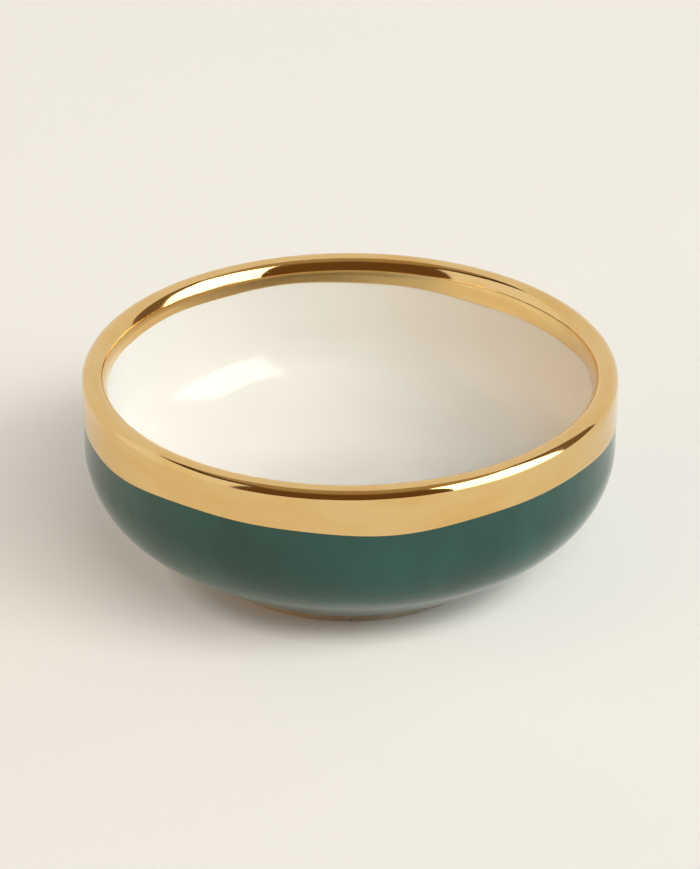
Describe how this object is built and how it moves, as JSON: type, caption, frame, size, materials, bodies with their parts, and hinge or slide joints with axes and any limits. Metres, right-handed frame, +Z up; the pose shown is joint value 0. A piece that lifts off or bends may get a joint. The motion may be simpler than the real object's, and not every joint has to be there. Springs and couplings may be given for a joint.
{
  "type": "ring dish",
  "caption": "Small round glazed ceramic dish for rings, with an ivory inside, a deep green outside and a gold band over the rim.",
  "frame": {"origin": "on the table, under the middle of the dish", "axes": "+Z up along the axis of the dish; -Y towards the side that the picture shows"},
  "size_m": [0.11, 0.11, 0.0435],
  "materials": {
    "clay": "matte",
    "ivory_glaze": "gloss",
    "green_glaze": "gloss",
    "gold_lustre": "polished"
  },
  "bodies": {
    "root": {"clay_body": "clay", "ivory_liner_glaze": "ivory_glaze", "green_outer_glaze": "green_glaze", "green_base_glaze": "green_glaze", "gold_rim_band": "gold_lustre"}
  },
  "joints": []
}
